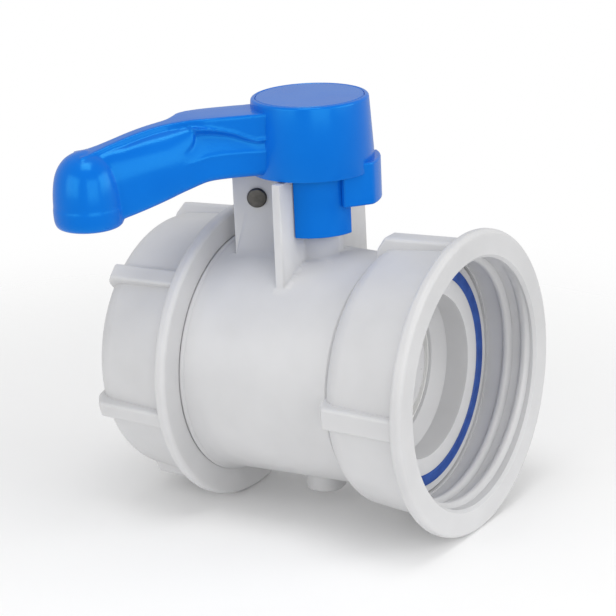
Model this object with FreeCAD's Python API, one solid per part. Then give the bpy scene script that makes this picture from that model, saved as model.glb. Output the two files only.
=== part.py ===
import FreeCAD, Part
import math
import os

# Intermediate bulk container (IBC) tank valve: quarter-turn ball valve with an
# inlet union nut, a captive outlet nut and a lever handle.
# Millimetres.  +X is the direction of flow, +Z is up along the stem, and the
# origin is the centre of the inlet nut's end face, on the flow axis.

V = FreeCAD.Vector

# ---- thread and bore standard ----------------------------------------------
thread_major_r = 37.5      # coarse 75 x 6 thread, crest radius of the male
thread_play = 0.08         # radial play between male crest and nut
bore_r = 25.0              # nominal 50 waterway of the outlet tail

# ---- nuts -------------------------------------------------------------------
nut_len = 30.5             # end face to mouth
nut_flange_lip = 4.52      # flange above the wall beside it
nut_flange_t = 3.9
nut_flange_round = 1.5
nut_root_round = 2.6       # hollow between the wall and the flange
nut_wall_front = 3.9       # wall beside the flange, outside the thread
nut_wall_back = 2.3        # wall at the end of the shoulder round
nut_shoulder_len = 6.5     # axial length of the rounded shoulder
nut_shoulder_drop = 5.28   # from the wall down to the end face
inlet_mouth_chamfer = 0.35
outlet_mouth_chamfer = 0.9
lug_height = 3.0           # above the wall beside it
lug_start = 0.4            # from the end face of the nut to the end of the lug
lug_ramp = 2.4
lug_ramp_drop = 3.4
lug_round = 1.0
inlet_lugs = 6
inlet_lug_w = 5.2
inlet_lug_phase = -15.0    # degrees from the top, turning towards -Y
outlet_lugs = 4
outlet_lug_w = 6.8
outlet_lug_phase = 1.5
inlet_shoulder_t = 4.5
inlet_face_w = 6.5         # sealing face inside the thread; the hole passes
                           # the tank's spigot
outlet_shoulder_t = 6.0
outlet_nut_gap = 0.4       # end of body to the back of the outlet nut
outlet_relief_play = 0.4   # round the tail's flange
neck_play = 0.08           # running play of the outlet nut on the tail

# ---- body -------------------------------------------------------------------
inlet_gasket_t = 3.0
gasket_play = 0.3
body_inlet_len = 49.5      # inlet face to stem axis
body_outlet_len = 23.2     # stem axis to outlet end
barrel_step = 1.3          # thread crest down to the barrel
barrel_taper = 1.3
barrel_wall = 2.9          # round the ball chamber
thread_chamfer = 1.2
collar_over = 1.0          # collar standing out of the inlet nut
collar_fair = 5.0          # from the collar down to the barrel
seat_wall_inlet = 7.0      # wall behind the inlet seat; clear of the ball
seat_wall_outlet = 4.5
boss_r = 6.1
boss_stand = 6.6           # below the barrel
boss_bevel = 0.9

# ---- ball and seats ---------------------------------------------------------
cavity_play = 0.5
ball_bore_share = 0.635    # of the ball; reduced, so that it covers its seats
seat_near_share = 0.619    # of the ball: stem axis to the seat's near face
seat_out_share = 0.8413    # of the ball: outer radius of a seat
seat_gap = 0.05
seat_t = 6.0
seat_hole_play = 1.0       # round the ball's bore
seat_wall_play = 0.5       # round the seat ring's hole
pocket_land = 1.0
seat_oring_in = 2.1        # from the seat's outer edge
seat_oring_wire = 0.85
groove_play = 0.15
tang_len = 17.0
tang_w = 6.8
tang_depth = 6.2
tang_play = 0.1

# ---- outlet tail ------------------------------------------------------------
tail_neck_step = 5.2       # flange down to the neck that the nut turns on
tail_cage_start = 11.0     # stem axis to the end of the sleeve round the ball
tail_cage_wall = 1.6
throat_len = 3.4           # taper from the seat's hole out to the bore
tail_neck_len = 7.8        # body end to the back of the flange
tail_flange_in = 0.9       # inside the thread crest
tail_flange_t = 6.4
tail_oring_wire = 0.82
tail_oring_back = 1.8      # groove centre to the end of the body
gasket_edge = 2.7          # from the rim of the flange
gasket_w = 3.6
gasket_t = 3.0
gasket_proud = 0.4

# ---- neck, fins and lock plate ---------------------------------------------
neck_r = 8.3
neck_top = 60.0
fin_t = 2.6
fin_front_r = 20.7         # the -Y fin
fin_back_r = 27.0          # the +Y fin
fin_back_top = 50.4        # it ends below the handle's side tab
fin_draft = 0.6
plate_angle = 206.0        # lock plate, degrees from +X
plate_r = 24.2
pin_r = 3.0
pin_rho = 17.0
pin_z = 51.8
pin_proud = 0.9
pin_hole_play = 0.0

# ---- stem -------------------------------------------------------------------
stem_r = 5.5
stem_play = 0.06
stem_flange_r = 6.8
stem_flange_t = 2.6
stem_flange_play = 0.15
washer_t = 1.2
square_af = 7.6
square_play = 0.05
square_top = 76.4
stem_oring_wire = 0.68
stem_oring_rise = 9.0      # above the stem washer
stem_oring_pitch = 6.0
screw_r = 2.5
screw_len = 12.0

# ---- handle -----------------------------------------------------------------
hub_top = 82.6
hub_bottom = 60.4
hub_top_r = 17.6
hub_bottom_r = 18.8
hub_edge = 0.6
hub_wall = 2.6
hub_roof_t = 5.4
cap_r = 16.2
cap_t = 2.2
cap_play = 0.05
head_recess_r = 8.5
head_recess_t = 3.4
handle_washer_r = 7.0
handle_washer_t = 1.0
head_r = 4.6
head_t = 2.2
key_r = 2.3
key_depth = 1.4
socket_r = 12.1            # boss round the stem square, and the stop skirt
skirt_bottom = 41.5
skirt_play = 0.7           # round the neck
stop_play = 0.2            # from skirt and tab to a fin
tab_r = 20.4
tab_inner_r = 14.0
tab_from = -22.0           # degrees from +X
tab_to = 50.0
tab_face = 15.4            # flat front face, from the stem axis
tab_face_angle = -38.5
tab_low = 51.0
tab_top = 65.0
tab_round = 3.0            # upright corner between the face and the outside
handle_angle = 230.0       # lever direction with the valve shut
knob_rho = 68.7
knob_r = 10.4
knob_low = 51.0
knob_wall_top = 57.0
knob_neck_r = 8.1          # where the two arcs of the dome meet
knob_neck_z = 69.3
knob_top = 75.8
knob_round = 2.2
knob_side_bulge = 0.6
knob_crown_bulge = 1.35
rim_t = 2.4
rim_w = 6.0
rim_root_w = 15.0
rim_root_to = 40.0
# stations along the lever: distance from the stem, underside, top, width
lever = [
    (10.0, 60.9, 80.0, 18.6),
    (20.0, 60.9, 80.6, 18.2),
    (29.0, 60.7, 80.9, 16.2),
    (38.0, 58.3, 80.9, 17.0),
    (48.0, 55.6, 80.1, 18.0),
    (58.0, 53.0, 78.2, 18.4),
    (66.0, 51.8, 75.4, 17.6),
]

# ---- places that follow from the sizes --------------------------------------
nut_thread_r = thread_major_r + thread_play
nut_r_back = nut_thread_r + nut_wall_back
nut_r_front = nut_thread_r + nut_wall_front
nut_end_r = nut_r_back - nut_shoulder_drop
nut_flange_r = nut_r_front + nut_flange_lip
inlet_hole_r = thread_major_r - inlet_face_w
barrel_r_inlet = thread_major_r - barrel_step
barrel_r_outlet = barrel_r_inlet - barrel_taper
tail_flange_r = thread_major_r - tail_flange_in
tail_neck_r = tail_flange_r - tail_neck_step
gasket_out_r = tail_flange_r - gasket_edge
gasket_in_r = gasket_out_r - gasket_w
cavity_r = barrel_r_outlet - barrel_wall
ball_r = cavity_r - cavity_play
ball_bore_r = ball_r * ball_bore_share
seat_near = ball_r * seat_near_share
seat_out_r = ball_r * seat_out_share
seat_oring_r = seat_out_r - seat_oring_in
boss_drop = barrel_r_outlet + boss_stand
inlet_face = inlet_shoulder_t + inlet_gasket_t
stem_x = inlet_face + body_inlet_len
body_end = stem_x + body_outlet_len
outlet_back = body_end + outlet_nut_gap
mouth = outlet_back + nut_len
flange_back = body_end + tail_neck_len
flange_face = flange_back + tail_flange_t
seat_far = seat_near + seat_t
seat_in_r = ball_bore_r + seat_hole_play
pass_r = seat_in_r + seat_wall_play
gasket_seat = flange_face + gasket_proud - gasket_t
O = V(0, 0, 0)
X = V(1, 0, 0)
Y = V(0, 1, 0)
Z = V(0, 0, 1)
STEM = V(stem_x, 0, 0)


def revolved(points, base, axis):
    pts = [V(*p) for p in points]
    return Part.Face(Part.makePolygon(pts + [pts[0]])).revolve(base, axis, 360)


def about_flow(points):
    # points are (x, r)
    return revolved([(x, 0, r) for x, r in points], O, X)


def about_stem(points):
    # points are (r, z), round the stem axis
    return revolved([(stem_x + r, 0, z) for r, z in points], STEM, Z)


def pipe(x0, x1, r):
    return Part.makeCylinder(r, x1 - x0, V(x0, 0, 0), X)


def post(z0, z1, r):
    return Part.makeCylinder(r, z1 - z0, V(stem_x, 0, z0), Z)


def ring(x0, x1, r_in, r_out):
    return pipe(x0, x1, r_out).cut(pipe(x0, x1, r_in))


def fillet_where(shape, radius, test):
    edges = [e for e in shape.Edges if not e.Degenerated and test(e)]
    return shape.makeFillet(radius, edges) if edges else shape


def chamfer_where(shape, size, test):
    edges = [e for e in shape.Edges if not e.Degenerated and test(e)]
    return shape.makeChamfer(size, edges) if edges else shape


def circle_at(e, x, r, tol=0.02):
    # a full circle round the flow axis
    c = e.Curve
    return (isinstance(c, Part.Circle) and abs(c.Radius - r) < tol
            and abs(c.Center.x - x) < tol and abs(c.Center.y) < tol
            and abs(c.Center.z) < tol)


def square(af, z0, z1):
    return Part.makeBox(af, af, z1 - z0, V(stem_x - af / 2, -af / 2, z0))


# ---- nuts -------------------------------------------------------------------
def arc_between(centre, r, from_deg, to_deg):
    pts = []
    for t in (from_deg, (from_deg + to_deg) / 2, to_deg):
        t = math.radians(t)
        pts.append(V(centre[0] + r * math.cos(t), 0, centre[1] + r * math.sin(t)))
    return Part.Arc(*pts).toShape(), pts[0], pts[2]


def nut(back, lugs, lug_width, phase):
    front = back + nut_len
    fb = front - nut_flange_t
    s = nut_shoulder_len
    # shoulder: one arc from the end face, tangent to the sloping wall
    slope = (nut_r_front - nut_r_back) / (fb - back - s)
    k = (s * s + nut_shoulder_drop ** 2) / (2 * (nut_shoulder_drop - s * slope))
    centre = (back + s + slope * k, nut_r_back - k)
    a_end = math.degrees(math.atan2(nut_end_r - centre[1], back - centre[0]))
    a_wall = math.degrees(math.atan2(nut_r_back - centre[1], back + s - centre[0]))
    shoulder, a, b = arc_between(centre, math.hypot(k, slope * k), a_end, a_wall)
    # hollow up to the flange, and the flange's two rounded edges
    rr, ro = nut_root_round, nut_flange_round
    root, c, d = arc_between((fb - rr, nut_r_front + rr), rr, -90, 0)
    edge1, e, f = arc_between((fb + ro, nut_flange_r - ro), ro, 180, 90)
    edge2, g, h = arc_between((front - ro, nut_flange_r - ro), ro, 90, 0)
    line = Part.makeLine
    blank = Part.Face(Part.Wire([
        line(V(back, 0, 0), a), shoulder, line(b, c), root, line(d, e), edge1,
        line(f, g), edge2, line(h, V(front, 0, 0)),
        line(V(front, 0, 0), V(back, 0, 0))])).revolve(O, X, 360)
    # lugs: bars along the whole wall, one drawn and the rest turned round
    top0 = nut_r_back + lug_height
    top1 = nut_r_front + lug_height * 0.8
    x0 = back + lug_start
    inner = nut_end_r - 1.0
    prof = [V(x0, 0, inner), V(x0, 0, top0 - lug_ramp_drop),
            V(x0 + lug_ramp, 0, top0), V(fb + 0.5, 0, top1),
            V(fb + 0.5, 0, inner)]
    bar = Part.Face(Part.makePolygon(prof + [prof[0]])).extrude(V(0, lug_width, 0))
    bar.translate(V(0, -lug_width / 2, 0))
    bar = fillet_where(bar, lug_round, lambda e: (
        e.BoundBox.ZMax > nut_r_back + 0.5 and e.BoundBox.XLength > 0.5
        and e.BoundBox.YLength < 0.01) or (
        e.BoundBox.YLength > 1 and abs(e.BoundBox.ZMax - top0) < 0.01))
    out = blank
    for i in range(lugs):
        one = bar.copy()
        one.rotate(O, X, phase + 360.0 * i / lugs)
        out = out.fuse(one)
    return out.removeSplitter()


def mouth_cut(front, size):
    return about_flow([(front - size, 0), (front - size, nut_thread_r),
                       (front, nut_thread_r + size),
                       (front + 1, nut_thread_r + size), (front + 1, 0)])


inlet_nut = nut(0, inlet_lugs, inlet_lug_w, inlet_lug_phase)
inlet_nut = inlet_nut.cut(pipe(-1, nut_len, inlet_hole_r))
inlet_nut = inlet_nut.cut(pipe(inlet_shoulder_t, nut_len + 1, nut_thread_r))
inlet_nut = inlet_nut.cut(mouth_cut(nut_len, inlet_mouth_chamfer))

thread_start = flange_face + 0.3
outlet_nut = nut(outlet_back, outlet_lugs, outlet_lug_w, outlet_lug_phase)
outlet_nut = outlet_nut.cut(pipe(outlet_back - 1, mouth, tail_neck_r + neck_play))
outlet_nut = outlet_nut.cut(pipe(outlet_back + outlet_shoulder_t, mouth,
                                 tail_flange_r + outlet_relief_play))
outlet_nut = outlet_nut.cut(pipe(thread_start, mouth + 1, nut_thread_r))
outlet_nut = outlet_nut.cut(mouth_cut(mouth, outlet_mouth_chamfer))

# ---- body -------------------------------------------------------------------
collar_end = nut_len + collar_over
outer = about_flow([
    (inlet_face, 0),
    (inlet_face, thread_major_r - thread_chamfer),
    (inlet_face + thread_chamfer, thread_major_r),
    (collar_end, thread_major_r),
    (collar_end + collar_fair / 2, barrel_r_inlet + barrel_step * 0.3),
    (collar_end + collar_fair, barrel_r_inlet),
    (body_end - 0.5, barrel_r_outlet),
    (body_end, barrel_r_outlet - 0.5),
    (body_end, 0)])


def fin(reach, angle, t, draft, top):
    # upright plate from the neck outwards, a little wider at the foot
    pts = [V(0, 0, 0), V(reach + draft, 0, 0), V(reach, 0, top), V(0, 0, top)]
    f = Part.Face(Part.makePolygon(pts + [pts[0]])).extrude(V(0, t, 0))
    f.translate(V(0, -t / 2, 0))
    f.rotate(O, Z, angle)
    f.translate(STEM)
    return f


neck = post(0, neck_top, neck_r)
boss = Part.makeCylinder(boss_r, boss_drop, V(stem_x, 0, -boss_drop), Z)
boss = chamfer_where(boss, boss_bevel,
                    lambda e: e.BoundBox.ZMax < -boss_drop + 0.01)
body = outer.fuse([neck, boss,
                   fin(fin_front_r, 270, fin_t, fin_draft, neck_top),
                   fin(fin_back_r, 90, fin_t, fin_draft, fin_back_top),
                   fin(plate_r, plate_angle, fin_t, 0.0, neck_top)])
body = body.removeSplitter()

# passages: inlet bore, seat pocket, ball chamber, stem bore
body = body.cut(pipe(inlet_face - 1, stem_x - seat_far - seat_wall_inlet, inlet_hole_r))
body = body.cut(pipe(inlet_face - 1, stem_x, pass_r))
body = body.cut(pipe(stem_x - seat_far, stem_x, seat_out_r))
chamber_start = stem_x - seat_near + pocket_land
body = body.cut(pipe(chamber_start, body_end + 1, cavity_r))
groove_half = seat_oring_wire + groove_play
body = body.cut(ring(stem_x - seat_far - 2 * seat_oring_wire, stem_x - seat_far + 0.2,
                     seat_oring_r - groove_half, seat_oring_r + groove_half))
stem_bore_r = stem_r + stem_play
flange_low = cavity_r + 0.2
flange_top = flange_low + stem_flange_t
counter_top = flange_top + washer_t
body = body.cut(post(0, counter_top, stem_flange_r + stem_flange_play))
body = body.cut(post(0, neck_top + 1, stem_bore_r))


def on_plate(rho, z):
    a = math.radians(plate_angle)
    return V(stem_x + rho * math.cos(a), rho * math.sin(a), z)


plate_normal = V(-math.sin(math.radians(plate_angle)),
                 math.cos(math.radians(plate_angle)), 0)
pin_len = fin_t + 2 * pin_proud
pin_foot = on_plate(pin_rho, pin_z) - plate_normal * (pin_len / 2)
lock_pin = Part.makeCylinder(pin_r, pin_len, pin_foot, plate_normal)
body = body.cut(Part.makeCylinder(pin_r + pin_hole_play, pin_len, pin_foot, plate_normal))
lock_pin = chamfer_where(lock_pin, 0.4, lambda e: isinstance(e.Curve, Part.Circle))

# ---- outlet tail ------------------------------------------------------------
tail = pipe(stem_x + tail_cage_start, body_end, cavity_r)
tail = tail.fuse(pipe(body_end - 0.5, flange_back + 0.5, tail_neck_r))
tail = tail.fuse(pipe(flange_back, flange_face, tail_flange_r)).removeSplitter()
tail = chamfer_where(tail, 0.6, lambda e: circle_at(e, flange_face, tail_flange_r)
                    or circle_at(e, flange_back, tail_flange_r))
tail = tail.cut(pipe(stem_x, flange_face + 1, pass_r))
throat = stem_x + seat_far + seat_wall_outlet
tail = tail.cut(about_flow([(throat - throat_len, 0), (throat - throat_len, pass_r),
                            (throat, bore_r), (flange_face + 1, bore_r),
                            (flange_face + 1, 0)]))
tail = tail.cut(pipe(stem_x, stem_x + seat_near, cavity_r - tail_cage_wall))
tail = tail.cut(pipe(stem_x, stem_x + seat_far, seat_out_r))
tail = tail.cut(ring(stem_x + seat_far - 0.2, stem_x + seat_far + 2 * seat_oring_wire,
                     seat_oring_r - groove_half, seat_oring_r + groove_half))
tg = body_end - tail_oring_back
tail_oring_r = cavity_r - tail_oring_wire - 0.02
tail = tail.cut(ring(tg - tail_oring_wire - groove_play, tg + tail_oring_wire + groove_play,
                     tail_oring_r - tail_oring_wire - 0.02, cavity_r + 1))
tail = tail.cut(ring(gasket_seat, flange_face + 1, gasket_in_r, gasket_out_r))
tail_oring = Part.makeTorus(tail_oring_r, tail_oring_wire, V(tg, 0, 0), X)

outlet_gasket = ring(gasket_seat, gasket_seat + gasket_t, gasket_in_r, gasket_out_r)
outlet_gasket = chamfer_where(outlet_gasket, 0.3, lambda e: circle_at(
    e, gasket_seat + gasket_t, gasket_out_r) or circle_at(
    e, gasket_seat + gasket_t, gasket_in_r))

inlet_gasket = ring(inlet_shoulder_t, inlet_face, inlet_hole_r,
                    thread_major_r - gasket_play)

# ---- seats ------------------------------------------------------------------
seat_cut = Part.makeSphere(ball_r + seat_gap, STEM)
seat_inlet = ring(stem_x - seat_far, stem_x - seat_near, seat_in_r, seat_out_r).cut(seat_cut)
seat_outlet = ring(stem_x + seat_near, stem_x + seat_far, seat_in_r, seat_out_r).cut(seat_cut)
seat_oring_inlet = Part.makeTorus(seat_oring_r, seat_oring_wire,
                                  V(stem_x - seat_far - seat_oring_wire, 0, 0), X)
seat_oring_outlet = Part.makeTorus(seat_oring_r, seat_oring_wire,
                                   V(stem_x + seat_far + seat_oring_wire, 0, 0), X)

# ---- ball and stem (drawn shut: the ball's bore lies along Y) ----------------
ball = Part.makeSphere(ball_r, STEM)
ball = ball.cut(Part.makeCylinder(ball_bore_r, 2 * ball_r + 2,
                                  V(stem_x, -ball_r - 1, 0), Y))
tang_low = ball_r - tang_depth
slot = Part.makeBox(tang_len + 2 * tang_play, tang_w + 2 * tang_play, ball_r,
                    V(stem_x - tang_len / 2 - tang_play, -tang_w / 2 - tang_play,
                      tang_low - tang_play))
ball = ball.cut(slot)

stem = post(flange_low, neck_top + 0.3, stem_r)
stem = stem.fuse(post(flange_low, flange_top, stem_flange_r))
tang = Part.makeBox(tang_len, tang_w, flange_low + 1 - tang_low,
                    V(stem_x - tang_len / 2, -tang_w / 2, tang_low))
tang = tang.common(post(tang_low, flange_low + 1, tang_len / 2))
tang = tang.common(Part.makeSphere(cavity_r - 0.1, STEM).fuse(
    post(flange_low - 3, flange_low + 1, stem_flange_r)))
stem = stem.fuse(tang)
stem = stem.fuse(square(square_af, neck_top, square_top)).removeSplitter()
stem = stem.cut(post(square_top - screw_len, square_top + 1, screw_r))
stem_oring_r = stem_bore_r - stem_oring_wire - 0.01
stem_orings = []
for k in range(2):
    z = counter_top + stem_oring_rise + k * stem_oring_pitch
    h = stem_oring_wire + groove_play
    stem = stem.cut(post(z - h, z + h, stem_r + 1).cut(
        post(z - h, z + h, stem_oring_r - stem_oring_wire - 0.01)))
    stem_orings.append(Part.makeTorus(stem_oring_r, stem_oring_wire, V(stem_x, 0, z), Z))

stem_washer = post(flange_top, counter_top, stem_flange_r).cut(
    post(flange_top, counter_top, stem_r))

# ---- handle -----------------------------------------------------------------
cap_seat = hub_top - cap_t
recess_floor = cap_seat - head_recess_t
hub = about_stem([
    (0, hub_bottom), (hub_bottom_r, hub_bottom), (hub_top_r, hub_top - hub_edge),
    (hub_top_r - hub_edge, hub_top), (0, hub_top)])


def lever_section(rho, low, top, width):
    # fuller below, drawn in towards the rim
    h = (top - low) / 2
    mid = low + h
    pts = []
    n = 16
    for i in range(n):
        t = 2 * math.pi * i / n
        c, s = math.cos(t), math.sin(t)
        y = width / 2 * math.copysign(abs(c) ** 0.72, c)
        z = h * math.copysign(abs(s) ** 0.8, s)
        if s > 0:
            y *= 1 - 0.16 * s * s
        pts.append(V(rho, y, mid + z))
    c = Part.BSplineCurve()
    c.interpolate(Points=pts, PeriodicFlag=True)
    return Part.Wire(c.toShape())


grip = Part.makeLoft([lever_section(r, lo, hi - rim_t / 2, w) for r, lo, hi, w in lever],
                     True, False)

# rim along the top of the lever, wide at the hub and narrow over the grip
tops = [V(r, 0, hi) for r, lo, hi, w in lever] + [V(knob_rho + 1, 0, knob_top - rim_t)]
crest = Part.BSplineCurve()
crest.interpolate(Points=tops)
under = Part.BSplineCurve()
under.interpolate(Points=[V(p.x, 0, p.z - rim_t) for p in tops])
a0, a1 = tops[0], tops[-1]
strip = Part.Face(Part.Wire([
    crest.toShape(), Part.makeLine(a1, V(a1.x, 0, a1.z - rim_t)),
    under.toShape(), Part.makeLine(V(a0.x, 0, a0.z - rim_t), a0)]))
strip = strip.extrude(V(0, rim_root_w, 0))
strip.translate(V(0, -rim_root_w / 2, 0))
z0, z1 = 0.0, hub_top + 10
flare = rim_root_to + (rim_root_w - rim_w) / 2
plan = [V(0, -rim_root_w / 2, z0), V(rim_root_to, -rim_root_w / 2, z0),
        V(flare, -rim_w / 2, z0), V(knob_rho + 2, -rim_w / 2, z0),
        V(knob_rho + 2, rim_w / 2, z0), V(flare, rim_w / 2, z0),
        V(rim_root_to, rim_root_w / 2, z0), V(0, rim_root_w / 2, z0)]
plan = Part.Face(Part.makePolygon(plan + [plan[0]])).extrude(V(0, 0, z1))
rim = strip.common(plan)

# knob: an upright rounded end with a domed top
corner = V(knob_rho + knob_r - knob_round, 0, knob_low + knob_round)
side = V(knob_rho + knob_r, 0, knob_wall_top)
meet = V(knob_rho + knob_neck_r, 0, knob_neck_z)
crown = V(knob_rho, 0, knob_top)


def bulged(p, q, bulge):
    # arc from p to q that stands off their chord by that much, outwards
    d = q - p
    n = V(-d.z, 0, d.x).normalize() * -1
    return Part.Arc(p, (p + q) * 0.5 + n * bulge, q).toShape()


knob = Part.Face(Part.Wire([
    Part.makeLine(V(knob_rho, 0, knob_low), V(corner.x, 0, knob_low)),
    Part.Arc(V(corner.x, 0, knob_low),
             V(corner.x + knob_round * math.sqrt(0.5), 0,
               corner.z - knob_round * math.sqrt(0.5)),
             V(knob_rho + knob_r, 0, corner.z)).toShape(),
    Part.makeLine(V(knob_rho + knob_r, 0, corner.z), side),
    bulged(side, meet, knob_side_bulge), bulged(meet, crown, knob_crown_bulge),
    Part.makeLine(crown, V(knob_rho, 0, knob_low)),
])).revolve(V(knob_rho, 0, 0), Z, 360)

arm = grip.fuse([rim, knob])
arm.rotate(O, Z, handle_angle)
arm.translate(STEM)
arm = arm.cut(post(0, hub_top + 1, hub_top_r - hub_wall))

handle = hub.fuse(arm)
# side tab: a thick wall under the edge of the hub, with a flat front face


def in_plan(r, angle):
    a = math.radians(angle)
    return V(stem_x + r * math.cos(a), r * math.sin(a), tab_low)


far = tab_r * 2
wedge = Part.Face(Part.makePolygon([
    in_plan(0, 0), in_plan(far, tab_from), in_plan(far, (tab_from + tab_to) / 2),
    in_plan(far, tab_to), in_plan(0, 0)])).extrude(V(0, 0, tab_top - tab_low))
tab = post(tab_low, tab_top, tab_r).cut(post(tab_low, tab_top, tab_inner_r)).common(wedge)
front = Part.makeBox(far, 2 * far, hub_top, V(tab_face, -far, 0))
front.rotate(O, Z, tab_face_angle)
front.translate(STEM)
tab = tab.cut(front)
corner_angle = tab_face_angle + math.degrees(math.acos(tab_face / tab_r))
corner_foot = in_plan(tab_r, corner_angle)
tab = fillet_where(tab, tab_round, lambda e: e.BoundBox.ZLength > 1
                   and abs(e.BoundBox.Center.x - corner_foot.x) < 0.05
                   and abs(e.BoundBox.Center.y - corner_foot.y) < 0.05)
handle = handle.fuse(tab)
# hollow under the hub, with the socket boss left standing
roof = hub_top - hub_roof_t
inner = about_stem([
    (socket_r, hub_bottom - 12), (hub_bottom_r - hub_wall, hub_bottom - 12),
    (hub_bottom_r - hub_wall, hub_bottom), (hub_top_r - hub_wall, roof),
    (socket_r, roof)])
handle = handle.cut(inner)
# quarter skirt that meets the fins at the ends of the stroke
skirt_in = neck_r + skirt_play
stop_face = fin_t / 2 + stop_play
skirt = post(skirt_bottom, hub_bottom + 1, socket_r).cut(
    post(skirt_bottom, hub_bottom + 1, skirt_in))
skirt = skirt.common(Part.makeBox(socket_r + 1, socket_r + 1, hub_top,
                                  V(stem_x + stop_face, -socket_r - 1 - stop_face, 0)))
skirt = chamfer_where(skirt, 0.8, lambda e: isinstance(e.Curve, Part.Circle)
                     and abs(e.Curve.Radius - socket_r) < 0.01
                     and abs(e.BoundBox.ZMax - skirt_bottom) < 0.01)
handle = handle.fuse(skirt)
handle = handle.cut(post(skirt_bottom - 1, hub_bottom, skirt_in))
handle = handle.cut(square(square_af + 2 * square_play, neck_top - 1, recess_floor + 1))
handle = handle.cut(post(recess_floor, hub_top + 1, head_recess_r))
handle = handle.cut(post(cap_seat, hub_top + 1, cap_r + cap_play))
handle = handle.removeSplitter()

hub_cap = post(cap_seat, hub_top, cap_r)
hub_cap = chamfer_where(hub_cap, 0.3, lambda e: abs(e.BoundBox.ZMin - hub_top) < 0.01)
handle_washer = post(recess_floor, recess_floor + handle_washer_t, handle_washer_r).cut(
    post(recess_floor, recess_floor + handle_washer_t, screw_r + 0.3))
head_low = recess_floor + handle_washer_t
handle_screw = post(square_top - screw_len + 1.5, head_low + 0.1, screw_r - 0.03)
handle_screw = handle_screw.fuse(post(head_low, head_low + head_t, head_r)).removeSplitter()
hexagon = [V(stem_x + key_r * math.cos(math.pi / 3 * i), key_r * math.sin(math.pi / 3 * i),
             head_low + head_t - key_depth) for i in range(7)]
handle_screw = handle_screw.cut(Part.Face(Part.makePolygon(hexagon)).extrude(V(0, 0, head_t)))

parts = {
    "valve_body": body,
    "lock_pin": lock_pin,
    "outlet_tail": tail,
    "tail_oring": tail_oring,
    "outlet_gasket": outlet_gasket,
    "seat_inlet": seat_inlet,
    "seat_outlet": seat_outlet,
    "seat_oring_inlet": seat_oring_inlet,
    "seat_oring_outlet": seat_oring_outlet,
    "ball": ball,
    "stem": stem,
    "stem_washer": stem_washer,
    "stem_oring_lower": stem_orings[0],
    "stem_oring_upper": stem_orings[1],
    "handle": handle,
    "hub_cap": hub_cap,
    "handle_screw": handle_screw,
    "handle_washer": handle_washer,
    "inlet_gasket": inlet_gasket,
    "inlet_nut": inlet_nut,
    "outlet_nut": outlet_nut,
}

os.makedirs("parts", exist_ok=True)
for name, shape in parts.items():
    if len(shape.Solids) == 1:
        shape = shape.Solids[0]
    print(name, "solids", len(shape.Solids), "valid", shape.isValid(),
          "volume %.1f" % shape.Volume)
    shape.exportStep("parts/" + name + ".step")
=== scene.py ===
import math

import bmesh
import bpy
from mathutils import Matrix, Vector


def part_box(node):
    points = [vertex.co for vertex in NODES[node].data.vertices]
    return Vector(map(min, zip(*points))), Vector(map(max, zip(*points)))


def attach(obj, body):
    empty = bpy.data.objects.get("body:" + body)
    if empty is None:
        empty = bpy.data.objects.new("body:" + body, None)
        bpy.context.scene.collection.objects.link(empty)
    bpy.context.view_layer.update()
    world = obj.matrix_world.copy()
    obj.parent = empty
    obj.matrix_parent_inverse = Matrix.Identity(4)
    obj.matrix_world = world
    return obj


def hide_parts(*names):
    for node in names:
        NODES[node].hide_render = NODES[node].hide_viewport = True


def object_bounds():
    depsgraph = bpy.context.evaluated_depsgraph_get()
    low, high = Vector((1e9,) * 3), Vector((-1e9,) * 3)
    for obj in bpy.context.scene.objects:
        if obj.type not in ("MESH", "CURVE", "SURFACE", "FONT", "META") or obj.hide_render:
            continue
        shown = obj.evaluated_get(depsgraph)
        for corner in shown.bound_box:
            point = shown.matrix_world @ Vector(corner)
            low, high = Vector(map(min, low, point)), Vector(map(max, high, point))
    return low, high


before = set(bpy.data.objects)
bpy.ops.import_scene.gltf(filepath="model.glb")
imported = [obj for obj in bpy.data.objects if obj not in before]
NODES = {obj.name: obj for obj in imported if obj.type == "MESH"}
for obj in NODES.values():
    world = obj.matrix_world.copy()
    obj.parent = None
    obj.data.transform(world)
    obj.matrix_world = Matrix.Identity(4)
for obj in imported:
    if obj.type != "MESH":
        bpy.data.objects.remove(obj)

# The valve's looks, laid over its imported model.  Metres, in the model's frame:
# +X is the direction of flow, +Z is up along the stem.
MM = 0.001
PLASTIC_IOR = 1.5
cad_low, cad_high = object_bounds()


# ---- materials ---------------------------------------------------------------
def srgb(r, g, b):
    """A colour from 0 to 255 a channel, as the shaders' linear values."""
    def lin(c):
        c /= 255.0
        return c / 12.92 if c <= 0.04045 else ((c + 0.055) / 1.055) ** 2.4
    return (lin(r), lin(g), lin(b), 1.0)


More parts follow.
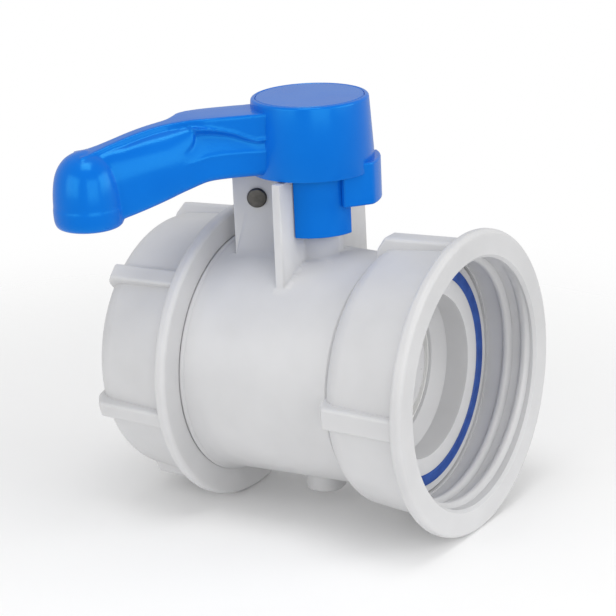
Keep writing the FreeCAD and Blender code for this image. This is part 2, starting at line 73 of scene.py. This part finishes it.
class Graph:
    """A material and its node tree, with short calls to add and join nodes."""

    def __init__(self, name):
        self.mat = bpy.data.materials.new(name)
        self.mat.use_nodes = True
        self.tree = self.mat.node_tree
        self.shader = self.tree.nodes["Principled BSDF"]
        self.place = self.add("ShaderNodeTexCoord").outputs["Object"]

    def add(self, kind, **values):
        node = self.tree.nodes.new(kind)
        for key, value in values.items():
            if hasattr(node, key):
                setattr(node, key, value)
            else:
                node.inputs[key.replace("_", " ")].default_value = value
        return node

    def join(self, a, b):
        self.tree.links.new(a, b)

    def noise(self, scale, detail=3.0, roughness=0.5):
        n = self.add("ShaderNodeTexNoise", Scale=scale, Detail=detail, Roughness=roughness)
        self.join(self.place, n.inputs["Vector"])
        return n.outputs["Fac"]

    def ramp(self, fac, stops):
        n = self.add("ShaderNodeValToRGB")
        while len(n.color_ramp.elements) < len(stops):
            n.color_ramp.elements.new(0.5)
        for e, (at, colour) in zip(n.color_ramp.elements, stops):
            e.position, e.color = at, colour
        self.join(fac, n.inputs["Fac"])
        return n.outputs["Color"]

    def span(self, fac, low, high):
        n = self.add("ShaderNodeMapRange")
        n.inputs["To Min"].default_value = low
        n.inputs["To Max"].default_value = high
        self.join(fac, n.inputs["Value"])
        return n.outputs["Result"]

    def bump(self, height, strength, distance):
        n = self.add("ShaderNodeBump", Strength=strength, Distance=distance)
        self.join(height, n.inputs["Height"])
        self.join(n.outputs["Normal"], self.shader.inputs["Normal"])


def moulded(name, low, high, rough, grain=900.0, cloud=45.0, bump=0.12,
            translucent=0.0, depth=0.0, tint=(1.0, 1.0, 1.0, 1.0), gloss=0.5):
    """Injection-moulded plastic: faint clouding, uneven polish and a fine skin."""
    g = Graph(name)
    s = g.shader.inputs
    g.join(g.ramp(g.noise(cloud, 4.0), [(0.3, low), (0.7, high)]), s["Base Color"])
    g.join(g.span(g.noise(cloud * 3.0, 5.0), *rough), s["Roughness"])
    g.bump(g.noise(grain, 2.0), bump, 0.00006)
    s["IOR"].default_value = PLASTIC_IOR
    s["Subsurface Weight"].default_value = translucent
    s["Subsurface Radius"].default_value = (1.0, 0.96, 0.9)
    s["Subsurface Scale"].default_value = depth
    s["Specular Tint"].default_value = tint
    s["Specular IOR Level"].default_value = gloss
    return g.mat


def rubber(name, low, high, rough):
    """Matt rubber with a fine grain."""
    g = Graph(name)
    s = g.shader.inputs
    g.join(g.ramp(g.noise(260.0, 4.0), [(0.35, low), (0.65, high)]), s["Base Color"])
    g.join(g.span(g.noise(700.0), *rough), s["Roughness"])
    g.bump(g.noise(2600.0, 2.0), 0.3, 0.00005)
    return g.mat


def metal(name, low, high, rough):
    """Plain metal with uneven polish."""
    g = Graph(name)
    s = g.shader.inputs
    s["Metallic"].default_value = 1.0
    g.join(g.ramp(g.noise(400.0, 6.0), [(0.3, low), (0.7, high)]), s["Base Color"])
    g.join(g.span(g.noise(900.0, 4.0), *rough), s["Roughness"])
    g.bump(g.noise(3000.0, 2.0), 0.2, 0.00004)
    return g.mat


LOOKS = {
    "body_white": moulded("natural_plastic", srgb(203, 203, 204), srgb(211, 211, 212),
                          (0.36, 0.5), translucent=0.25, depth=0.003),
    "handle_blue": moulded("blue_plastic", srgb(4, 100, 206), srgb(8, 108, 213),
                           (0.17, 0.27), grain=700.0, bump=0.06,
                           tint=(0.1, 0.8, 1.0, 1.0), gloss=0.8),
    "gasket_blue": rubber("blue_rubber", srgb(22, 62, 138), srgb(34, 78, 158), (0.45, 0.6)),
    "seal_black": rubber("black_rubber", srgb(20, 20, 21), srgb(32, 32, 33), (0.5, 0.65)),
    "seat_white": moulded("seat_plastic", srgb(222, 222, 220), srgb(230, 230, 228),
                          (0.3, 0.42)),
    "ball_white": moulded("ball_plastic", srgb(205, 205, 206), srgb(213, 213, 214),
                          (0.24, 0.34), translucent=0.25, depth=0.003),
    "stem_white": moulded("stem_plastic", srgb(198, 198, 197), srgb(208, 208, 207),
                          (0.34, 0.46)),
    "pin_grey": metal("pin_steel", srgb(84, 82, 79), srgb(112, 110, 106), (0.42, 0.6)),
    "steel": metal("bright_steel", srgb(176, 176, 178), srgb(196, 196, 198), (0.25, 0.4)),
}


def dress(obj, look):
    obj.data.materials.clear()
    obj.data.materials.append(LOOKS[look])
    return obj


SLOT_OF = {
    "valve_body": "body_white", "outlet_tail": "body_white",
    "inlet_nut": "body_white", "outlet_nut": "body_white",
    "handle": "handle_blue", "hub_cap": "handle_blue",
    "inlet_gasket": "gasket_blue", "outlet_gasket": "gasket_blue",
    "tail_oring": "seal_black", "seat_oring_inlet": "seal_black",
    "seat_oring_outlet": "seal_black", "stem_oring_lower": "seal_black",
    "stem_oring_upper": "seal_black", "stem_washer": "seat_white",
    "seat_inlet": "seat_white", "seat_outlet": "seat_white",
    "ball": "ball_white", "stem": "stem_white", "lock_pin": "pin_grey",
    "handle_screw": "steel", "handle_washer": "steel",
}
for node, look in SLOT_OF.items():
    for slot in NODES[node].material_slots:
        slot.material = LOOKS[look]


# ---- mesh helpers ------------------------------------------------------------
def new_piece(name, mesh, body, look, sharp=None):
    """Adds a mesh as a piece of one body; sharp is the crease angle in degrees."""
    ob = bpy.data.objects.new(name, mesh)
    bpy.context.scene.collection.objects.link(ob)
    mesh.shade_smooth()
    if sharp:
        mesh.set_sharp_from_angle(angle=math.radians(sharp))
    dress(ob, look)
    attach(ob, body)
    return ob


def loft(bm, rings, closed=False):
    """Joins rings of points that have one count, and caps the ends or closes on itself."""
    made = [[bm.verts.new(p) for p in ring] for ring in rings]
    pairs = list(zip(made, made[1:])) + ([(made[-1], made[0])] if closed else [])
    for a, b in pairs:
        n = len(a)
        for i in range(n):
            bm.faces.new((a[i], a[(i + 1) % n], b[(i + 1) % n], b[i]))
    if not closed:
        bm.faces.new(list(reversed(made[0])))
        bm.faces.new(made[-1])


def finished(bm, name):
    """The mesh of a BMesh, with its normals outward."""
    bmesh.ops.recalc_face_normals(bm, faces=bm.faces)
    me = bpy.data.meshes.new(name)
    bm.to_mesh(me)
    bm.free()
    return me


def hoop(x, r, n):
    """A ring of n points round the flow axis."""
    return [Vector((x, r * math.cos(2 * math.pi * i / n),
                    r * math.sin(2 * math.pi * i / n))) * MM for i in range(n)]


def arc(cx, cy, r, start, end, n):
    """Points on an arc, in degrees."""
    out = []
    for i in range(n + 1):
        t = math.radians(start + (end - start) * i / n)
        out.append((cx + r * math.cos(t), cy + r * math.sin(t)))
    return out


def curve(*stations):
    """A smooth function through a few stations."""
    xs = [p[0] for p in stations]
    ys = [p[1] for p in stations]
    n = len(xs)
    slope = []
    for i in range(n):
        a, b = max(i - 1, 0), min(i + 1, n - 1)
        slope.append((ys[b] - ys[a]) / (xs[b] - xs[a]))

    def at(x):
        x = min(max(x, xs[0]), xs[-1])
        i = max(k for k in range(n - 1) if xs[k] <= x)
        h = xs[i + 1] - xs[i]
        t = (x - xs[i]) / h
        return ((2 * t ** 3 - 3 * t ** 2 + 1) * ys[i] + (t ** 3 - 2 * t ** 2 + t) * h * slope[i]
                + (3 * t ** 2 - 2 * t ** 3) * ys[i + 1] + (t ** 3 - t ** 2) * h * slope[i + 1])
    return at


def ease(t):
    """A smooth step from 0 to 1."""
    t = min(max(t, 0.0), 1.0)
    return t * t * (3 - 2 * t)


# ---- places, in millimetres ----------------------------------------------------
def millimetres(node):
    """The low and high corner of a node's box."""
    low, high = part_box(node)
    return Vector(low) / MM, Vector(high) / MM


stem_low, stem_high = millimetres("stem")
STEM_X = (stem_low.x + stem_high.x) / 2
cap_low, cap_high = millimetres("hub_cap")
CAP_R = (cap_high.x - cap_low.x) / 2
HUB_TOP = cap_high.z
HUB_LOW = 60.4
LEVER_ANGLE = math.radians(230.0)
ALONG = Vector((math.cos(LEVER_ANGLE), math.sin(LEVER_ANGLE), 0))
ACROSS = Vector((-ALONG.y, ALONG.x, 0))


def on_lever(rho, w, z):
    """A point of the lever: from the stem axis along it, across it, and up."""
    p = Vector((STEM_X, 0, z)) + ALONG * rho + ACROSS * w
    return p * MM


def round_stem(points, z):
    """Points given round the stem axis, at one height."""
    return [(Vector((STEM_X + x, y, z))) * MM for x, y in points]


# ---- handle --------------------------------------------------------------------
def hub():
    """Hub shell: drafted wall, rounded top edge, recess for the cap, socket boss."""
    n = 128
    wall_low, wall_high, thick = 18.8, 17.6, 2.6
    edge = 0.9
    socket_r, socket_half, roof = 12.1, 3.86, HUB_TOP - 5.4
    recess_r, recess_floor = 8.5, HUB_TOP - 2.2 - 3.4

    def circle(r, z):
        return round_stem([(r * math.cos(2 * math.pi * i / n),
                            r * math.sin(2 * math.pi * i / n)) for i in range(n)], z)

    def squared(half, z):
        pts = []
        for i in range(n):
            t = 2 * math.pi * i / n
            k = half / max(abs(math.cos(t)), abs(math.sin(t)))
            pts.append((k * math.cos(t), k * math.sin(t)))
        return round_stem(pts, z)

    rings = [circle(wall_low - 0.5, HUB_LOW), circle(wall_low - 0.15, HUB_LOW + 0.15),
             circle(wall_low, HUB_LOW + 0.5)]
    lip = arc(wall_high - edge, HUB_TOP - edge, edge, 0, 90, 6)
    rings += [circle(r, z) for r, z in lip]
    rings += [circle(CAP_R + 0.3, HUB_TOP), circle(CAP_R + 0.06, HUB_TOP - 0.25),
              circle(CAP_R + 0.05, HUB_TOP - 2.25), circle(recess_r, HUB_TOP - 2.25),
              circle(recess_r, recess_floor),
              squared(socket_half, recess_floor), squared(socket_half, HUB_LOW),
              circle(socket_r, HUB_LOW), circle(socket_r, roof),
              circle(wall_high - thick, roof), circle(wall_low - thick, HUB_LOW)]
    bm = bmesh.new()
    loft(bm, rings, closed=True)
    return new_piece("handle_hub", finished(bm, "handle_hub"), "handle", "handle_blue", 35)


CREST = curve((14, 80.2), (22, 80.45), (31, 80.6), (37, 80.4), (43, 79.6), (49, 78.6),
              (55, 77.2), (61, 75.4), (67, 73.6), (71, 72.9))
UNDER = curve((14, 61.3), (24, 61.55), (31, 61.6), (35, 61.2), (40, 59.5), (46, 57.3),
              (52, 55.2), (58, 53.3), (63, 52.0), (70, 51.5))
FLANK = curve((14, 8.2), (22, 7.9), (30, 7.8), (38, 8.1), (46, 8.1), (52, 7.6), (58, 6.9),
              (63, 6.4), (70, 6.0))
KNOB_RHO, KNOB_LOW, KNOB_ROW, KNOB_ROWS = 68.7, 51.0, 0.4, 58
RIM_NEAR = curve((14, 7.6), (28, 7.5), (34, 6.9), (40, 4.7), (45, 3.2), (50, 2.9), (62, 2.9),
                 (67, 3.6), (71, 5.0))
RIM_FAR = curve((14, 7.6), (36, 7.6), (39, 7.1), (41.5, 4.8), (44, 3.2), (50, 2.9), (62, 2.9),
                (67, 3.6), (71, 5.0))
RIDGE = curve((16, 71.5), (22, 73.7), (25.5, 75.4), (30.5, 77.0), (35.5, 78.0), (41, 78.6))
LOW_RIDGE = curve((16, 68.6), (22, 69.3), (33, 69.4), (38, 68.5), (44, 67.0))
SCOOP = curve((16, 0.3), (20, 0.9), (26, 1.6), (33, 2.0), (38, 2.1))
RIM_HIGH = 1.5
PAD_HIGH = 10.5                  # below the rim, where the pad is at its widest
LOW_EDGE = 2.2                   # radius of the rounded lower edge
SKIN = 0.32                      # grain of the skin grown over arm and knob
PAD_END = (43.0, 76.0, 5.4)      # along the lever, height and radius of its round end


def flank_at(rho, z, rim):
    """Half width of the lever below its rim: a scooped waist that turns into a pad."""
    top, low, full = CREST(rho) - RIM_HIGH, UNDER(rho), FLANK(rho)
    # pad: leaves the rim nearly level, then turns down
    t = min(max((top - z) / PAD_HIGH, 0.0), 1.0)
    pad = rim + 0.1 + (full - rim - 0.1) * (1 - (1 - t) ** 2.0) ** 0.62
    pad -= 0.9 * math.exp(-((top - z) / 0.9) ** 2) * ease((62.0 - rho) / 6.0)
    below = min(max((top - PAD_HIGH - z) / (top - PAD_HIGH - low), 0.0), 1.0)
    pad *= 1 - 0.14 * below ** 2
    # waist: upright under the rim, a scoop between two ridges, upright below
    up, lo = RIDGE(rho), LOW_RIDGE(rho)
    if z > up:
        waist = min(rim, full)
    elif z > lo:
        t = (up - z) / (up - lo)
        depth = ease(t / 0.28) if t < 0.28 else 1 - (t - 0.28) / 0.72
        waist = full - SCOOP(rho) * depth
    else:
        waist = full - 0.03 * (lo - z)
    waist += (0.14 * math.exp(-((z - up) / 0.5) ** 2)
              + 0.12 * math.exp(-((z - lo) / 0.5) ** 2))
    # where the pad ends: a round end above, a soft turn below
    cx, cz, r = PAD_END
    away = math.hypot(min(rho - cx, 0.0), z - cz) - r if rho < cx else -r
    sharp = ease(0.5 - away / 1.5)
    soft = ease((rho - 35.0) / 8.0)
    share = ease((z - 70.0) / 4.0)
    mix = sharp * share + soft * (1 - share)
    width = waist * (1 - mix) + pad * mix
    # rounded lower edge
    rise = z - low
    if rise < LOW_EDGE:
        width -= LOW_EDGE - math.sqrt(LOW_EDGE ** 2 - (LOW_EDGE - rise) ** 2)
    return width


def lever():
    """Arm lofted along the lever and its upright knob, grown together into one skin."""
    bm = bmesh.new()
    rings = []
    steps = 110
    start, stop = 19.0, 71.0
    wall_r = 16.9

    def section(rho):
        top, low = CREST(rho), UNDER(rho)
        halves = []
        for rim in (RIM_NEAR(rho), RIM_FAR(rho)):
            half = [(rim * 0.5, top), (rim - 0.5, top - 0.08), (rim - 0.12, top - 0.3),
                    (rim, top - 0.7), (rim, top - RIM_HIGH)]
            n = 44
            for i in range(n + 1):
                z = top - RIM_HIGH - 0.02 - (top - RIM_HIGH - 0.02 - low) * i / n
                half.append((flank_at(rho, z, rim), z))
            halves.append(half)
        near, far = halves
        return ([(0.0, top)] + near + [(0.0, low)]
                + [(-w, z) for w, z in reversed(far)])

    first = section(start)
    rings.append([on_lever(math.sqrt(wall_r ** 2 - w ** 2), w, z) for w, z in first])
    for i in range(steps + 1):
        rho = start + (stop - start) * i / steps
        rings.append([on_lever(rho, w, z) for w, z in section(rho)])
    loft(bm, rings)

    # knob: upright and round, with a domed top and a faint parting step
    rows = curve((51.0, 8.4), (51.35, 9.3), (52.0, 9.85), (53.0, 10.2), (54.5, 10.38),
                 (56.9, 10.42), (57.2, 10.3), (60.0, 10.25), (63.0, 10.0), (66.0, 9.45),
                 (68.3, 8.6), (70.2, 7.4), (71.7, 5.9), (72.8, 4.0), (73.5, 2.0),
                 (73.8, 0.4))
    rings = []
    for i in range(KNOB_ROWS):
        z = KNOB_LOW + KNOB_ROW * i
        r = rows(z)
        rings.append([on_lever(x, y, z) for x, y in arc(KNOB_RHO, 0.0, r, 0, 354, 59)])
    loft(bm, rings)
    ob = new_piece("handle_lever", finished(bm, "handle_lever"), "handle", "handle_blue")
    grow = ob.modifiers.new("skin", "REMESH")
    grow.mode = "VOXEL"
    grow.voxel_size = SKIN * MM
    grow.use_smooth_shade = True
    soften = ob.modifiers.new("soften", "SMOOTH")
    soften.factor, soften.iterations = 0.5, 4


def prism(name, outline, z0, z1, bevel):
    """An upright piece of the handle with softened edges."""
    bm = bmesh.new()
    loft(bm, [round_stem(outline, z0), round_stem(outline, z1)])
    ob = new_piece(name, finished(bm, name), "handle", "handle_blue", 30)
    edge = ob.modifiers.new("edge", "BEVEL")
    edge.width, edge.segments = bevel * MM, 3
    edge.limit_method, edge.angle_limit = "ANGLE", math.radians(35)


def skirt():
    """Quarter skirt round the neck that meets the fins at the ends of the stroke."""
    inner, outer, gap = 9.0, 14.0, 1.5
    a = math.degrees(math.asin(gap / outer))
    b = math.degrees(math.asin(gap / inner))
    outline = arc(0, 0, outer, -90 + a, -a, 36) + arc(0, 0, inner, -b, -90 + b, 30)
    prism("handle_skirt", outline, 42.3, HUB_LOW + 0.6, 0.55)


def tab():
    """Side tab: a thick wall under the edge of the hub with a flat front face."""
    inner, outer, corner = 14.0, 20.4, 3.0
    face, face_angle, end = 15.4, -38.5, 50.0
    normal = math.radians(face_angle)
    n = Vector((math.cos(normal), math.sin(normal)))
    side = Vector((-n.y, n.x))
    reach = outer - corner
    along = math.sqrt(reach ** 2 - (face - corner) ** 2)
    mid = n * (face - corner) + side * along
    turn = math.degrees(math.atan2(mid.y, mid.x))
    out = arc(mid.x, mid.y, corner, face_angle, turn, 10)
    out += arc(0, 0, outer, turn + 1.5, end, 28)
    out += arc(0, 0, inner, end, face_angle + 16.0, 28)
    foot = n * face + side * (math.sqrt(max(inner ** 2 - face ** 2, 0.0)) + 4.2)
    out.append((foot.x, foot.y))
    prism("handle_tab", out, 51.0, HUB_LOW + 3.4, 0.6)


handle_hub = hub()
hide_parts("handle")
lever()
skirt()
tab()


# ---- threads -------------------------------------------------------------------
PITCH, CREST_R, ROOT_R, PLAY = 6.0, 37.5, 35.0, 0.1
SINK = 0.1               # how far a nut's ridge starts inside its wall
BODY_SHARP = 15


def helix(name, body, look, x0, x1, root, crest, shift):
    """One start of a coarse thread: a ridge that rises from nothing and dies away."""
    per_turn = 120
    turns = (x1 - x0) / PITCH
    steps = int(per_turn * turns)
    fade = per_turn * 0.22
    flat = 0.55
    rings = []
    for k in range(steps + 1):
        t = 2 * math.pi * k / per_turn
        x = x0 + PITCH * k / per_turn
        full = ease(min(k, steps - k) / fade)
        high = root + (crest - root) * (0.06 + 0.94 * full)
        profile = [(-1.75, root), (-flat - 0.35, root + (high - root) * 0.82),
                   (-flat, root + (high - root) * 0.96), (-flat * 0.4, high),
                   (flat * 0.4, high), (flat, root + (high - root) * 0.96),
                   (flat + 0.35, root + (high - root) * 0.82), (1.75, root)]
        turn = t + shift
        rings.append([Vector((x + dx, -r * math.sin(turn), r * math.cos(turn))) * MM
                      for dx, r in profile])
    bm = bmesh.new()
    loft(bm, rings)
    new_piece(name, finished(bm, name), body, look, 50)


def threaded_body():
    """The body with its inlet end turned down to the root, ready for the ridge."""
    source = NODES["valve_body"]
    me = source.data.copy()
    me.transform(source.matrix_world)
    ob = new_piece("body_shell", me, "valve_body", "body_white", BODY_SHARP)
    bm = bmesh.new()
    low, high = INLET_END - 1.0, COLLAR
    ends = ((low, ROOT_R), (low, CREST_R + 2), (high, CREST_R + 2), (high, ROOT_R))
    loft(bm, [hoop(x, r, 192) for x, r in ends], closed=True)
    cutter = bpy.data.objects.new("turning_tool", finished(bm, "turning_tool"))
    bpy.context.scene.collection.objects.link(cutter)
    cut = ob.modifiers.new("turned", "BOOLEAN")
    cut.operation, cut.solver, cut.object = "DIFFERENCE", "EXACT", cutter
    graph = bpy.context.evaluated_depsgraph_get()
    turned = bpy.data.meshes.new_from_object(ob.evaluated_get(graph))
    ob.modifiers.clear()
    ob.data = turned
    turned.set_sharp_from_angle(angle=math.radians(BODY_SHARP))
    bpy.data.objects.remove(cutter)
    dress(ob, "body_white")
    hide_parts("valve_body")


def collar(start, lip, end, barrel):
    """Shoulder of the body that the inlet nut's mouth butts against."""
    outline = [(start, 36.0), (start, lip - 0.25), (start + 0.25, lip)]
    for i in range(1, 13):
        t = i / 12
        outline.append((start + 0.25 + (end - start - 0.25) * t,
                        lip - (lip - barrel) * ease(t)))
    outline.append((end, 35.5))
    bm = bmesh.new()
    loft(bm, [hoop(x, r, 160) for x, r in outline], closed=True)
    new_piece("body_collar", finished(bm, "body_collar"), "valve_body", "body_white", 35)


INLET_END = millimetres("inlet_gasket")[1].x
COLLAR = 30.1
MOUTH_GAP = 0.08
threaded_body()
collar(millimetres("inlet_nut")[1].x + MOUTH_GAP, 37.9, 33.8, 36.05)
helix("body_thread", "valve_body", "body_white", INLET_END + 2.2, COLLAR - 2.0,
      ROOT_R - 0.15, CREST_R, 0.0)
# it starts 1 mm further on and half a turn round, so it runs in the body's groove
helix("inlet_nut_thread", "inlet_nut", "body_white", INLET_END + 3.2, COLLAR - 2.2,
      CREST_R + PLAY + SINK, ROOT_R + PLAY, math.pi + 2 * math.pi / PITCH)
helix("outlet_nut_thread", "outlet_nut", "body_white",
      millimetres("outlet_tail")[1].x + 2.6, millimetres("outlet_nut")[1].x - 2.6,
      CREST_R + PLAY + SINK, ROOT_R + PLAY + 0.9, 0.0)


# ---- floor, light and camera -------------------------------------------------
def floor(z):
    """A pale floor that keeps the shadow and thins out into the background."""
    me = bpy.data.meshes.new("floor")
    half = 3.0
    me.from_pydata([(-half, -half, z), (half, -half, z), (half, half, z), (-half, half, z)],
                   [], [(0, 1, 2, 3)])
    ob = bpy.data.objects.new("floor", me)
    bpy.context.scene.collection.objects.link(ob)
    g = Graph("pale_floor")
    s = g.shader.inputs
    g.join(g.ramp(g.noise(3.0), [(0.3, srgb(250, 250, 250)), (0.7, srgb(252, 252, 252))]),
           s["Base Color"])
    s["Roughness"].default_value = 0.9
    s["Specular IOR Level"].default_value = 0.1
    far = g.add("ShaderNodeVectorMath", operation="LENGTH")
    g.join(g.place, far.inputs[0])
    fade = g.add("ShaderNodeMapRange", interpolation_type="SMOOTHSTEP")
    for key, value in (("From Min", 0.1), ("From Max", 0.3), ("To Min", 1.0), ("To Max", 0.0)):
        fade.inputs[key].default_value = value
    g.join(far.outputs["Value"], fade.inputs["Value"])
    g.join(fade.outputs["Result"], s["Alpha"])
    ob.data.materials.append(g.mat)


def lamp(name, energy, size, place, target):
    """A rectangular lamp that faces its target: watts, and sides in metres."""
    data = bpy.data.lights.new(name, "AREA")
    data.energy, data.shape, data.size = energy, "RECTANGLE", size[0]
    data.size_y = size[1]
    ob = bpy.data.objects.new(name, data)
    ob.location = place
    ob.rotation_mode = "QUATERNION"
    ob.rotation_quaternion = (Vector(target) - Vector(place)).to_track_quat("-Z", "Y")
    bpy.context.scene.collection.objects.link(ob)


middle = (cad_low + cad_high) / 2
floor(cad_low.z)


def around(azimuth, height, distance):
    """A place round the valve: degrees from +X, degrees up, metres."""
    a, h = math.radians(azimuth), math.radians(height)
    return middle + distance * Vector((math.cos(h) * math.cos(a), math.cos(h) * math.sin(a),
                                       math.sin(h)))


lamp("left", 1.9, (0.7, 0.5), around(-107, 16, 0.9), middle)
lamp("right", 2.4, (0.7, 0.5), around(12, 18, 0.9), middle)
lamp("front", 1.5, (0.6, 0.5), around(-38, 12, 0.9), middle)
lamp("top", 2.6, (0.5, 0.5), around(-60, 74, 1.0), middle)

world = bpy.data.worlds.new("studio")
world.use_nodes = True
nodes, links = world.node_tree.nodes, world.node_tree.links
back = nodes["Background"]
back.inputs["Color"].default_value = (1, 1, 1, 1)
path = nodes.new("ShaderNodeLightPath")
strength = nodes.new("ShaderNodeMapRange")
strength.inputs["To Min"].default_value = 0.6
strength.inputs["To Max"].default_value = 1.0
links.new(path.outputs["Is Camera Ray"], strength.inputs["Value"])
links.new(strength.outputs["Result"], back.inputs["Strength"])
bpy.context.scene.world = world

camera = bpy.data.cameras.new("camera")
camera.sensor_width = 36.0
camera.lens = 141.60
camera.clip_start, camera.clip_end = 0.05, 20.0
eye = bpy.data.objects.new("camera", camera)
right = Vector((0.84732039, 0.52931155, -0.04332939))
up = Vector((-0.12401503, 0.27653285, 0.95296897))
away = Vector((0.51639948, -0.80209655, 0.29995451))
eye.matrix_world = Matrix.Translation(Vector((434.07, -591.78, 237.30)) * MM) @ Matrix(
    (right, up, away)).transposed().to_4x4()
bpy.context.scene.collection.objects.link(eye)
bpy.context.scene.camera = eye

bpy.context.scene.view_settings.view_transform = "Standard"
